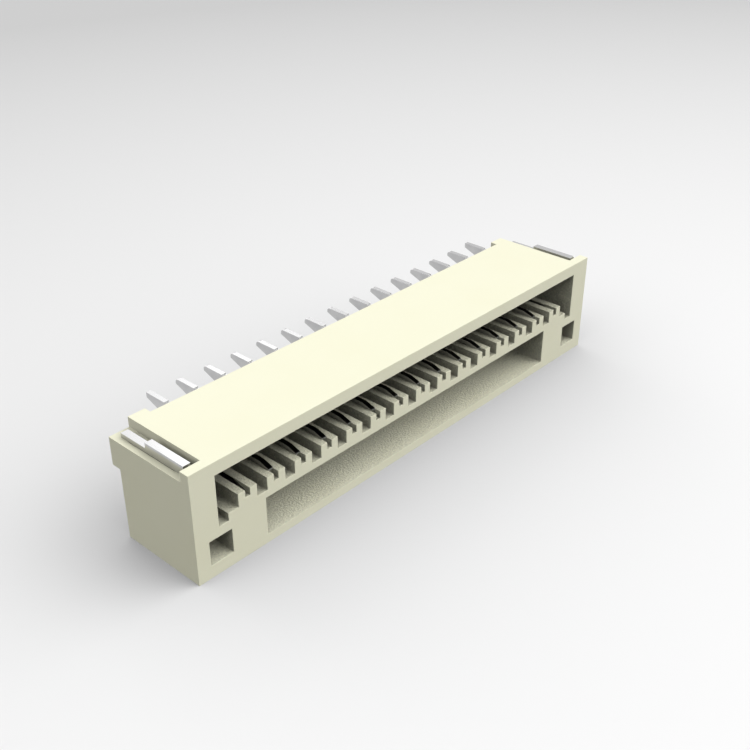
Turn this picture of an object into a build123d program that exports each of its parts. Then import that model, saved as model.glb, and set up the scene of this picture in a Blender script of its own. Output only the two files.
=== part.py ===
# Wire-to-board header: 15 ways at 1.25 mm pitch, side entry, surface mount.
# It is modelled as it lies in the photograph, with the side that is soldered to the board
# facing up, and it rests on the broad flat face that would otherwise face away from the board.
# X runs along the row, Z is up, and the plug mouth faces -Y. The solder feet stand out at +Y.
# While a piece is drawn, y is counted from the mouth face and z from the resting face.
# At the end every piece moves forward by half the overall depth, which centres the origin.

import os

from build123d import *

# Row of contacts
ways = 15
pitch = 1.25
end_margin = 2.25            # centre of an outer contact to the end of the housing

# Housing, outside
body_height = 4.30
body_depth = 3.80            # mouth face to the rear face between the ears
lower_set_back = 0.10        # the rear face below the ears lies this much further forward
ear_width = 1.50
ear_height = 1.50
ear_reach = 0.30             # how far an ear stands out behind the rear face
notch_width = 0.80           # step at each end of the board side, for the solder tab
notch_depth = 0.40
notch_front_wall = 0.40

# Plug mouth, from its roof on the board side down to the comb
mouth_roof = 0.50
mouth_side_wall = 1.00
mouth_height = 1.18          # roof to the tops of the ribs
rear_wall = 0.90
rib_width = 0.30
narrow_slot_depth = 0.29     # slot that holds a contact
wide_slot_depth = 0.50       # slot between two contacts
key_width = 0.40             # deeper step at each end of the mouth, a key for the plug
key_depth = 0.80

# Long pocket for the plug's latch, and a square pocket at each end
latch_end_wall = 3.00
latch_floor = 0.35
latch_web = 0.27             # between the pocket and the comb's wide slots
latch_rear_wall = 1.10
square_end_wall = 0.55
square_width = 0.95
square_floor = 0.50
square_web = 0.37            # between the pocket and the key above it
square_depth = 1.80

# Contact, stamped from sheet
sheet_thickness = 0.20
slot_clearance = 0.005       # each side of a contact in its slot
arm_front_gap = 0.24         # mouth face to the front end of the arm
arm_ramp = 0.46              # length of the sloping nose
arm_rise = 0.14              # height of the sloping nose
arm_proud = 0.18             # how far the arm's top stands above the ribs
arm_crest_radius = 0.60
leg_inset = 0.15             # leg inside the rear wall, from its front and rear faces
slot_roof = 0.35             # housing above the leg
barb_height = 0.04
barb_length = 0.24
leg_corner_radius = 0.10
foot_length = 1.11           # rear face to the end of the solder foot
foot_drop = 0.005            # the solder face lies this much below the board side
foot_step_length = 0.13      # lower stretch between the housing and the solder face
foot_step_height = 0.05
foot_end_height = 0.195
foot_rise = 0.42             # how far the foot's underside climbs from the housing to its end
foot_tip_radius = 0.12

# The two outer contacts have a lower arm and a square foot end
outer_arm_ramp = 0.50
outer_arm_rise = 0.20
outer_arm_sunk = 0.02        # how far their top lies below the ribs

# Solder tab, stamped from thicker sheet and pressed into the end wall
tab_thickness = 0.30
tab_end_wall = 0.25          # outside of the housing to the tab
tab_front_gap = 0.14         # between the notch's front wall and the tab
tab_rear_gap = 0.04          # between the end of the tab and the line of the rear face
tab_drop = 0.02              # the solder face lies this much below the board side
tab_pad_length = 1.92        # raised solder face
tab_pad_step = 0.20          # how much lower the rear stretch is
tab_shoulder = 0.40          # each shoulder's reach past the leg
tab_leg_length = 1.60
tab_leg_bevel = 0.20
tab_barb_height = 0.04
tab_barb_length = 0.30
tab_clearance = 0.005

# Worked-out places along the row
row_length = (ways - 1) * pitch
half_length = row_length / 2 + end_margin
contact_places = [way * pitch - row_length / 2 for way in range(ways)]
mouth_half = half_length - mouth_side_wall
narrow_slot_half = sheet_thickness / 2 + slot_clearance
rib_outer = narrow_slot_half + rib_width       # contact's centre to the far side of its rib
tab_centre = half_length - tab_end_wall - tab_thickness / 2

# Worked-out depths, from the mouth face
mouth_depth = body_depth - rear_wall
foot_end_y = body_depth + foot_length
overall_depth = foot_end_y
leg_front_y = mouth_depth + leg_inset
leg_rear_y = body_depth - leg_inset
tab_front_y = notch_front_wall + tab_front_gap
tab_rear_y = body_depth - tab_rear_gap
tab_leg_front_y = tab_front_y + tab_shoulder
tab_leg_rear_y = tab_rear_y - tab_shoulder

# Worked-out heights, from the resting face
mouth_roof_z = body_height - mouth_roof
rib_top_z = mouth_roof_z - mouth_height
narrow_floor_z = rib_top_z - narrow_slot_depth
wide_floor_z = rib_top_z - wide_slot_depth
key_floor_z = rib_top_z - key_depth
notch_floor_z = body_height - notch_depth
slot_roof_z = body_height - slot_roof
foot_top_z = body_height - foot_drop

# Drawing planes: the mouth face seen from the front, and the side view with y and z
front_view = Plane(origin=(0, 0, 0), x_dir=(1, 0, 0), z_dir=(0, -1, 0))
side_view = Plane(origin=(0, 0, 0), x_dir=(0, 1, 0), z_dir=(1, 0, 0))


def span(low_u, high_u, low_v, high_v):
    # A rectangle between two corners
    centre = Pos((low_u + high_u) / 2, (low_v + high_v) / 2)
    return centre * Rectangle(high_u - low_u, high_v - low_v)


def both_ends(sketch):
    # The sketch and its mirror image at the other end of the row
    return sketch + mirror(sketch, about=Plane.YZ)


def plate(corners, thickness):
    # A stamped plate on edge. Each corner is y, z and the radius that rounds it
    points = [(y, z) for y, z, radius in corners]
    radii = [radius for y, z, radius in corners]
    outline = FilletPolyline(*points, radius=radii, close=True)
    return extrude(make_face(side_view * outline), amount=thickness / 2, both=True)


def mouth_section():
    # Room above the comb, then the slots that leave a pair of ribs at each contact
    section = span(-mouth_half, mouth_half, rib_top_z, mouth_roof_z)
    for place in contact_places:
        section += span(place - narrow_slot_half, place + narrow_slot_half, narrow_floor_z, rib_top_z)
    for place in contact_places[:-1]:
        section += span(place + rib_outer, place + pitch - rib_outer, wide_floor_z, rib_top_z)
    section += both_ends(span(row_length / 2 + rib_outer, mouth_half, wide_floor_z, rib_top_z))
    section += both_ends(span(mouth_half - key_width, mouth_half, key_floor_z, rib_top_z))
    return section


def housing():
    # Outside: a block to the lower rear face, and an upper layer whose plan has the two ears
    body = extrude(span(-half_length, half_length, 0, body_depth - lower_set_back), amount=body_height)
    upper_plan = span(-half_length, half_length, 0, body_depth)
    upper_plan += both_ends(span(half_length - ear_width, half_length, 0, body_depth + ear_reach))
    body += extrude(Plane.XY.offset(body_height - ear_height) * upper_plan, amount=ear_height)

    # Notches for the solder tabs, open at the end and behind
    notch_rear_y = body_depth + ear_reach
    notch_plan = both_ends(span(half_length - notch_width, half_length, notch_front_wall, notch_rear_y))
    body -= extrude(Plane.XY.offset(notch_floor_z) * notch_plan, amount=notch_depth)

    # Mouth and pockets, cut from the front
    body -= extrude(front_view * mouth_section(), amount=-mouth_depth)
    latch_half = half_length - latch_end_wall
    latch_pocket = span(-latch_half, latch_half, latch_floor, wide_floor_z - latch_web)
    body -= extrude(front_view * latch_pocket, amount=-(body_depth - lower_set_back - latch_rear_wall))
    square_outer = half_length - square_end_wall
    square = span(square_outer - square_width, square_outer, square_floor, key_floor_z - square_web)
    body -= extrude(front_view * both_ends(square), amount=-square_depth)

    # A slot for each contact's leg, through the rear wall
    leg_slot = span(mouth_depth, body_depth, narrow_floor_z, slot_roof_z)
    for place in contact_places:
        body -= Pos(place, 0, 0) * extrude(side_view * leg_slot, amount=narrow_slot_half, both=True)

    # A slot for each solder tab's leg, below the notch floor
    tab_slot = span(
        tab_leg_front_y - tab_clearance,
        tab_leg_rear_y + tab_clearance,
        notch_floor_z - tab_leg_length - tab_clearance,
        notch_floor_z,
    )
    for place in (-tab_centre, tab_centre):
        half_slot = tab_thickness / 2 + tab_clearance
        body -= Pos(place, 0, 0) * extrude(side_view * tab_slot, amount=half_slot, both=True)
    return body


def contact(arm_top_z, ramp, rise, tip_radius):
    # Sloping nose and level arm in the comb, leg with two barbs in the rear wall, and behind
    # the housing the shoulder that stops against it, the small step and the solder foot
    nose_y = arm_front_gap
    foot_end_z = foot_top_z - foot_end_height
    foot_root_z = foot_end_z - foot_rise
    foot_step_y = body_depth + foot_step_length
    valley_z = slot_roof_z - barb_height
    corners = [
        (nose_y, narrow_floor_z, 0),
        (nose_y, arm_top_z - rise, 0),
        (nose_y + ramp, arm_top_z, arm_crest_radius),
        (leg_front_y, arm_top_z, leg_corner_radius),
        (leg_front_y, valley_z, 0),
        (leg_front_y + barb_length, slot_roof_z, 0),
        (leg_front_y + barb_length, valley_z, 0),
        (leg_front_y + 2 * barb_length, slot_roof_z, 0),
        (leg_front_y + 2 * barb_length, valley_z, 0),
        (body_depth, valley_z, 0),
        (body_depth, foot_top_z - foot_step_height, 0),
        (foot_step_y, foot_top_z - foot_step_height, 0),
        (foot_step_y, foot_top_z, 0),
        (foot_end_y, foot_top_z, tip_radius),
        (foot_end_y, foot_end_z, 0),
        (body_depth, foot_root_z, 0),
        (leg_rear_y, foot_root_z, leg_corner_radius),
        (leg_rear_y, narrow_floor_z, leg_corner_radius),
    ]
    return plate(corners, sheet_thickness)


def solder_tab():
    # Shoulders that seat on the notch floor, and a barbed leg pressed into the wall below
    pad_top_z = body_height - tab_drop
    pad_end_y = tab_front_y + tab_pad_length
    leg_bottom_z = notch_floor_z - tab_leg_length
    barb_tip_z = leg_bottom_z + tab_leg_bevel
    barb_top_z = barb_tip_z + tab_barb_length
    corners = [
        (tab_front_y, notch_floor_z, 0),
        (tab_front_y, pad_top_z, 0),
        (pad_end_y, pad_top_z, 0),
        (pad_end_y, pad_top_z - tab_pad_step, 0),
        (tab_rear_y, pad_top_z - tab_pad_step, 0),
        (tab_rear_y, notch_floor_z, 0),
        (tab_leg_rear_y - tab_barb_height, notch_floor_z, 0),
        (tab_leg_rear_y - tab_barb_height, barb_top_z, 0),
        (tab_leg_rear_y, barb_top_z, 0),
        (tab_leg_rear_y - tab_barb_height, barb_tip_z, 0),
        (tab_leg_rear_y - tab_leg_bevel, leg_bottom_z, 0),
        (tab_leg_front_y + tab_leg_bevel, leg_bottom_z, 0),
        (tab_leg_front_y + tab_barb_height, barb_tip_z, 0),
        (tab_leg_front_y, barb_top_z, 0),
        (tab_leg_front_y + tab_barb_height, barb_top_z, 0),
        (tab_leg_front_y + tab_barb_height, notch_floor_z, 0),
    ]
    return plate(corners, tab_thickness)


def save(shape, node, place=0):
    # Put the piece at its place along the row, centre the whole part and write it out
    export_step(Pos(place, -overall_depth / 2, 0) * shape, f"parts/{node}.step")


os.makedirs("parts", exist_ok=True)
save(housing(), "housing")
inner_contact = contact(rib_top_z + arm_proud, arm_ramp, arm_rise, foot_tip_radius)
outer_contact = contact(rib_top_z - outer_arm_sunk, outer_arm_ramp, outer_arm_rise, 0)
for number, place in enumerate(contact_places, start=1):
    shape = outer_contact if number in (1, ways) else inner_contact
    save(shape, f"contact_{number:02d}", place)
save(solder_tab(), "solder_tab_left", -tab_centre)
save(solder_tab(), "solder_tab_right", tab_centre)
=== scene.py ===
# Wire-to-board header with 15 ways: an ivory moulded housing and tin-plated contacts, on a pale
# floor in soft studio light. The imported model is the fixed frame. Lengths are in metres.
import math

import bpy
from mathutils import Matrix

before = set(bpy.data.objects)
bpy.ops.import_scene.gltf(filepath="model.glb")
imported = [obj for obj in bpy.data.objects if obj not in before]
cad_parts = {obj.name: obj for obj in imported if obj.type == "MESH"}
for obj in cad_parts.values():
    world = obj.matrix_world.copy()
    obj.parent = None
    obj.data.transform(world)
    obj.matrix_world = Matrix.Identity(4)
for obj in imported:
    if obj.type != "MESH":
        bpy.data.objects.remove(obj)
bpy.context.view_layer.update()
scene = bpy.context.scene
for startName in ("Cube", "Camera", "Light"):
    startObject = bpy.data.objects.get(startName)
    if startObject:
        bpy.data.objects.remove(startObject)
print("frame loaded:", len(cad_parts), "pieces")

mm = 0.001


# Node helpers: each adds one node and joins its inputs, given as sockets or plain values

def addNode(tree, kind, inputs=(), **settings):
    node = tree.nodes.new(kind)
    for name, value in settings.items():
        setattr(node, name, value)
    for key, value in dict(inputs).items():
        if isinstance(value, bpy.types.NodeSocket):
            tree.links.new(value, node.inputs[key])
        else:
            node.inputs[key].default_value = value
    return node


def addMath(tree, operation, *values):
    return addNode(tree, "ShaderNodeMath", enumerate(values), operation=operation).outputs[0]


def addMix(tree, share, first, second):
    return addNode(tree, "ShaderNodeMix", {0: share, 6: first, 7: second}, data_type="RGBA").outputs[2]


def addRange(tree, value, source, target=(0.0, 1.0)):
    # The value, carried from the source range to the target range and held inside it
    inputs = {"Value": value, "From Min": source[0], "From Max": source[1],
              "To Min": target[0], "To Max": target[1]}
    return addNode(tree, "ShaderNodeMapRange", inputs).outputs[0]


def addNoise(tree, place, size, detail, roughness=0.5):
    # Noise whose blotches are about size metres across
    inputs = {"Vector": place, "Scale": 1 / size, "Detail": detail, "Roughness": roughness}
    return addNode(tree, "ShaderNodeTexNoise", inputs).outputs["Fac"]


def addBump(tree, height, distance, under=None):
    # Relief of the given depth, laid over the relief under it
    inputs = {"Height": height, "Distance": distance, "Strength": 1.0}
    if under is not None:
        inputs["Normal"] = under
    return addNode(tree, "ShaderNodeBump", inputs).outputs[0]


def addAxes(tree, vector):
    return addNode(tree, "ShaderNodeSeparateXYZ", {0: vector}).outputs


def addFacing(tree):
    # How far the surface turns towards +X, +Y and +Z, from -1 to 1
    return addAxes(tree, addNode(tree, "ShaderNodeNewGeometry").outputs["True Normal"])


def newMaterial(name):
    material = bpy.data.materials.new(name)
    material.use_nodes = True
    tree = material.node_tree
    shader = tree.nodes["Principled BSDF"]
    place = addNode(tree, "ShaderNodeTexCoord").outputs["Object"]
    return material, tree, shader, place


# Camera at the photograph's angle
cameraLook = {
    "place": (-25.9266 * mm, -23.7275 * mm, 22.5582 * mm),
    "tiltDegrees": 59.8508,
    "turnDegrees": -47.5398,
    "lensMm": 49.8997,
    "sensorMm": 36.0,
    "nearest": 1 * mm,
    "farthest": 10.0,
}


def makeCamera(look):
    data = bpy.data.cameras.new("camera")
    data.lens = look["lensMm"]
    data.sensor_width = look["sensorMm"]
    data.clip_start = look["nearest"]
    data.clip_end = look["farthest"]
    camera = bpy.data.objects.new("camera", data)
    camera.location = look["place"]
    camera.rotation_euler = (math.radians(look["tiltDegrees"]), 0, math.radians(look["turnDegrees"]))
    scene.collection.objects.link(camera)
    scene.camera = camera


makeCamera(cameraLook)
print("camera ready")


# Ivory housing: matt moulded nylon with the fine grain of the mould's spark-eroded faces
housingLook = {
    "ivory": (0.860, 0.850, 0.660, 1.0),
    "ivoryDeep": (0.852, 0.839, 0.642, 1.0),   # slightly richer where the melt ran thicker
    "flow": {"size": 2.6 * mm, "detail": 3.0},
    "flowRange": (0.35, 0.7),                  # noise that gives ivory and ivoryDeep
    "insideHalf": (10.4 * mm, 1.47 * mm, 1.78 * mm),    # box around the mouth and the pockets,
    "insideMiddle": (0.0, -0.97 * mm, 2.04 * mm),       # whose cores leave a coarser grain
    "coarse": {"size": 0.085 * mm, "detail": 3.0, "roughness": 0.7},
    "coarseDepth": 0.80,
    "coarseHeight": 0.045 * mm,
    "coarseLift": 0.05,                        # painted light: lifts the colour to make up for the light that this grain keeps back
    # Painted shade: the comb's upward faces in the mouth get a darker colour towards the back
    "combLow": 1.7 * mm,                       # the comb's upward faces lie above this height and
    "combUpward": 0.5,                         # turn up at least this much, and they darken inwards
    "combRange": (-2.455 * mm, -1.455 * mm),   # from the mouth's face to this depth
    "combPaintedShade": (0.90, 0.50),
    "grain": {"size": 0.035 * mm, "detail": 2.0, "roughness": 0.6},
    "grainRange": (0.3, 0.7),                  # noise that gives the least and the most roughness
    "grainHeight": 0.0012 * mm,
    "wave": {"size": 1.1 * mm, "detail": 1.0},  # shallow sink marks
    "waveHeight": 0.0006 * mm,
    "roughness": (0.52, 0.66),
    "specular": 0.30,
    "edgeRadius": 0.024 * mm,
}


def plasticMaterial(look):
    # Brightness inside = (1 + painted lift + depth * (coarse noise - 0.5)) * comb's painted shade
    material, tree, shader, place = newMaterial("ivoryNylon")
    flow = addRange(tree, addNoise(tree, place, **look["flow"]), look["flowRange"])
    colour = addMix(tree, flow, look["ivory"], look["ivoryDeep"])
    axes = addAxes(tree, place)
    inside = 1.0
    for axis, middle, half in zip(axes, look["insideMiddle"], look["insideHalf"]):
        inside = addMath(tree, "MULTIPLY", addMath(tree, "COMPARE", axis, middle, half), inside)
    coarse = addMath(tree, "SUBTRACT", addNoise(tree, place, **look["coarse"]), 0.5)
    swing = addMath(tree, "MULTIPLY", coarse, look["coarseDepth"])
    swing = addMath(tree, "MULTIPLY", addMath(tree, "ADD", swing, look["coarseLift"]), inside)
    # Painted shade: the comb's upward faces darken inwards from the mouth's face
    upward = addMath(tree, "GREATER_THAN", addFacing(tree)[2], look["combUpward"])
    comb = addMath(tree, "MULTIPLY", upward, addMath(tree, "GREATER_THAN", axes[2], look["combLow"]))
    loss = [part - 1 for part in look["combPaintedShade"]]
    shade = addMath(tree, "MULTIPLY", addRange(tree, axes[1], look["combRange"], loss),
                    addMath(tree, "MULTIPLY", comb, inside))
    level = addMath(tree, "MULTIPLY", addMath(tree, "ADD", swing, 1.0), addMath(tree, "ADD", shade, 1.0))
    grainy = addNode(tree, "ShaderNodeVectorMath", {0: colour, "Scale": level}, operation="SCALE")
    tree.links.new(grainy.outputs[0], shader.inputs["Base Color"])
    grain = addNoise(tree, place, **look["grain"])
    rough = addRange(tree, grain, look["grainRange"], look["roughness"])
    tree.links.new(rough, shader.inputs["Roughness"])
    shader.inputs["Specular IOR Level"].default_value = look["specular"]
    waves = addBump(tree, addNoise(tree, place, **look["wave"]), look["waveHeight"])
    pits = addBump(tree, addMath(tree, "MULTIPLY", coarse, inside), look["coarseHeight"], waves)
    tree.links.new(addBump(tree, grain, look["grainHeight"], pits), shader.inputs["Normal"])
    return material


# Tin-plated stampings: rolled faces with faint lines along the strip, and brighter sheared edges
tinLook = {
    "tin": (0.58, 0.58, 0.58, 1.0),
    "tinDull": (0.52, 0.52, 0.525, 1.0),
    "edge": (0.72, 0.72, 0.72, 1.0),
    "paintedEdgeShade": (0.26, 0.26, 0.26, 1.0),           # painted shade: darker metal on the edges inside the mouth and on the step at the foot
    "paintedShadeLine": 0.5 * mm,                      # the mouth lies in front of this place
    "sideways": 0.7,                           # rolled faces turn to the side at least this much,
    "forward": 0.5,                            # the step's face to the front this much, and
    "flatForward": 0.98,                       # a nose's flat end this much
    "cloud": {"size": 0.45 * mm, "detail": 3.0},
    "cloudRange": (0.35, 0.65),                # noise that gives tin and tinDull
    "crystal": {"size": 0.03 * mm, "detail": 2.0, "roughness": 0.6},
    "crystalRange": (0.3, 0.7),                # noise that gives the least and the most roughness
    "reliefHeight": 0.0002 * mm,
    "line": {"size": 0.02 * mm, "detail": 1.0},
    "lineStretch": 40.0,                       # rolling lines are this many times longer than wide
    "roughness": (0.08, 0.16),
    "edgeRadius": 0.006 * mm,
}

# The tabs have no painted shade on their edges, and their sheet's lines are wider
tabLook = dict(tinLook, paintedEdgeShade=tinLook["edge"], line={"size": 0.03 * mm, "detail": 1.0})


def tinMaterial(name, look):
    # Colour = tin to tinDull on rolled faces, and on sheared edges the edge colour or the painted shade
    material, tree, shader, place = newMaterial(name)
    facing = addFacing(tree)
    shader.inputs["Metallic"].default_value = 1.0
    cloud = addRange(tree, addNoise(tree, place, **look["cloud"]), look["cloudRange"])
    face = addMix(tree, cloud, look["tin"], look["tinDull"])
    rolled = addMath(tree, "GREATER_THAN", addMath(tree, "ABSOLUTE", facing[0]), look["sideways"])
    # Painted shade: darker on all edges in the mouth but the noses' flat front ends, and behind it on
    # the step at the foot
    inMouth = addMath(tree, "LESS_THAN", addAxes(tree, place)[1], look["paintedShadeLine"])
    front = addMath(tree, "LESS_THAN", facing[1], -look["forward"])
    flatFront = addMath(tree, "LESS_THAN", facing[1], -look["flatForward"])
    paintedEdgeShade = addMath(tree, "MAXIMUM", addMath(tree, "SUBTRACT", inMouth, flatFront),
                   addMath(tree, "SUBTRACT", front, inMouth))
    sheared = addMix(tree, paintedEdgeShade, look["edge"], look["paintedEdgeShade"])
    tree.links.new(addMix(tree, rolled, sheared, face), shader.inputs["Base Color"])
    crystal = addNoise(tree, place, **look["crystal"])
    rough = addRange(tree, crystal, look["crystalRange"], look["roughness"])
    tree.links.new(rough, shader.inputs["Roughness"])
    stretch = {"Vector": place, "Scale": (1.0, 1 / look["lineStretch"], 1.0)}
    stretched = addNode(tree, "ShaderNodeMapping", stretch).outputs[0]
    lines = addMath(tree, "MULTIPLY", addNoise(tree, stretched, **look["line"]), rolled)
    relief = addBump(tree, addMath(tree, "ADD", crystal, lines), look["reliefHeight"])
    tree.links.new(relief, shader.inputs["Normal"])
    return material


edgeLook = {
    "joinWithin": 0.0005 * mm,
    "flatDegrees": 1.0,                        # faces that turn less than this become one
    "sharpDegrees": 40,                        # edges that turn more than this are rounded
    "segments": 2,
}


def roundEdges(piece, radius, look):
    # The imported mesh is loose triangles: joined, flat faces made whole, then its edges rounded
    weld = piece.modifiers.new("weld", "WELD")
    weld.merge_threshold = look["joinWithin"]
    whole = piece.modifiers.new("wholeFaces", "DECIMATE")
    whole.decimate_type = "DISSOLVE"
    whole.angle_limit = math.radians(look["flatDegrees"])
    bevel = piece.modifiers.new("edges", "BEVEL")
    bevel.width = radius
    bevel.segments = look["segments"]
    bevel.limit_method = "ANGLE"
    bevel.angle_limit = math.radians(look["sharpDegrees"])
    bevel.harden_normals = True


plastic = plasticMaterial(housingLook)
contactTin = tinMaterial("contactTin", tinLook)
tabTin = tinMaterial("tabTin", tabLook)
for name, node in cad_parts.items():
    node.data.materials.clear()
    if name == "housing":
        node.data.materials.append(plastic)
        roundEdges(node, housingLook["edgeRadius"], edgeLook)
    elif name.startswith("contact"):
        node.data.materials.append(contactTin)
        roundEdges(node, tinLook["edgeRadius"], edgeLook)
    else:
        node.data.materials.append(tabTin)
        roundEdges(node, tabLook["edgeRadius"], edgeLook)
print("housing, contacts and tabs finished")


# Pale floor: a wide painted pool of light in front of the header, dimmer far behind it
floorLook = {
    "half": 2.0,
    "middle": (4.7 * mm, -39.2 * mm, 0.0),
    "reach": 90.2 * mm,
    "brightest": 0.898,
    "darkest": 0.545,
    "roughness": 1.0,
    "specular": 0.0,
}


def makeFloor(look):
    # Brightness = brightest / sqrt(1 + (distance from the middle / reach) squared), never under darkest
    half = look["half"]
    mesh = bpy.data.meshes.new("floor")
    mesh.from_pydata([(-half, -half, 0), (half, -half, 0), (half, half, 0), (-half, half, 0)],
                     [], [(0, 1, 2, 3)])
    floor = bpy.data.objects.new("floor", mesh)
    scene.collection.objects.link(floor)
    material, tree, shader, place = newMaterial("paleFloor")
    shader.inputs["Roughness"].default_value = look["roughness"]
    shader.inputs["Specular IOR Level"].default_value = look["specular"]
    away = addNode(tree, "ShaderNodeVectorMath", {0: place, 1: look["middle"]}, operation="DISTANCE")
    share = addMath(tree, "DIVIDE", away.outputs["Value"], look["reach"])
    spread = addMath(tree, "ADD", addMath(tree, "MULTIPLY", share, share), 1.0)
    level = addMath(tree, "MULTIPLY", addMath(tree, "POWER", spread, -0.5), look["brightest"])
    tree.links.new(addMath(tree, "MAXIMUM", level, look["darkest"]), shader.inputs["Base Color"])
    mesh.materials.append(material)


makeFloor(floorLook)

# Studio light: an even sky and soft glows, each as azimuth and elevation in degrees, how tight
# it is and its strength. Azimuth 0 is along +X and 90 along +Y.
skyLook = {
    "level": 0.05,
    "glows": [
        (-40.5, 22.9, 2.11, 2.85),             # broad light from the right front
        (170, 37.5, 7.42, 1.91),               # fill from the far left
        (84, 5, 4.27, 2.39),                   # low light behind
        (48, 35.4, 202, 2.19),                 # small light behind, which the metal mirrors
    ],
    "backdrop": 0.616,
    "colour": (1.0, 1.0, 1.0, 1.0),
}


def makeSky(look):
    # Strength = level + sum over the glows of strength * (cosine of the angle to the glow) ^ tightness
    world = bpy.data.worlds.new("softSky")
    scene.world = world
    world.use_nodes = True
    tree = world.node_tree
    background = tree.nodes["Background"]
    sky = addNode(tree, "ShaderNodeTexCoord").outputs["Generated"]
    total = look["level"]
    for azimuth, elevation, tightness, strength in look["glows"]:
        turn, rise = math.radians(azimuth), math.radians(elevation)
        towards = (math.cos(turn) * math.cos(rise), math.sin(turn) * math.cos(rise), math.sin(rise))
        facing = addNode(tree, "ShaderNodeVectorMath", {0: sky, 1: towards}, operation="DOT_PRODUCT")
        share = addMath(tree, "POWER", addMath(tree, "MAXIMUM", facing.outputs["Value"], 0.0), tightness)
        total = addMath(tree, "ADD", addMath(tree, "MULTIPLY", share, strength), total)
    # The camera sees the plain backdrop, and metal mirrors at least as much light as that
    ray = addNode(tree, "ShaderNodeLightPath").outputs
    mirror = addMath(tree, "MAXIMUM", ray["Is Glossy Ray"], ray["Is Transmission Ray"])
    total = addMath(tree, "MAXIMUM", total, addMath(tree, "MULTIPLY", mirror, look["backdrop"]))
    seenInputs = {0: ray["Is Camera Ray"], 2: total, 3: look["backdrop"]}
    seen = addNode(tree, "ShaderNodeMix", seenInputs, data_type="FLOAT")
    tree.links.new(seen.outputs[0], background.inputs["Strength"])
    background.inputs["Color"].default_value = look["colour"]


makeSky(skyLook)
scene.view_settings.view_transform = "Standard"
scene.cycles.diffuse_bounces = 0               # matt faces are lit by the sky alone
print("floor and light ready")
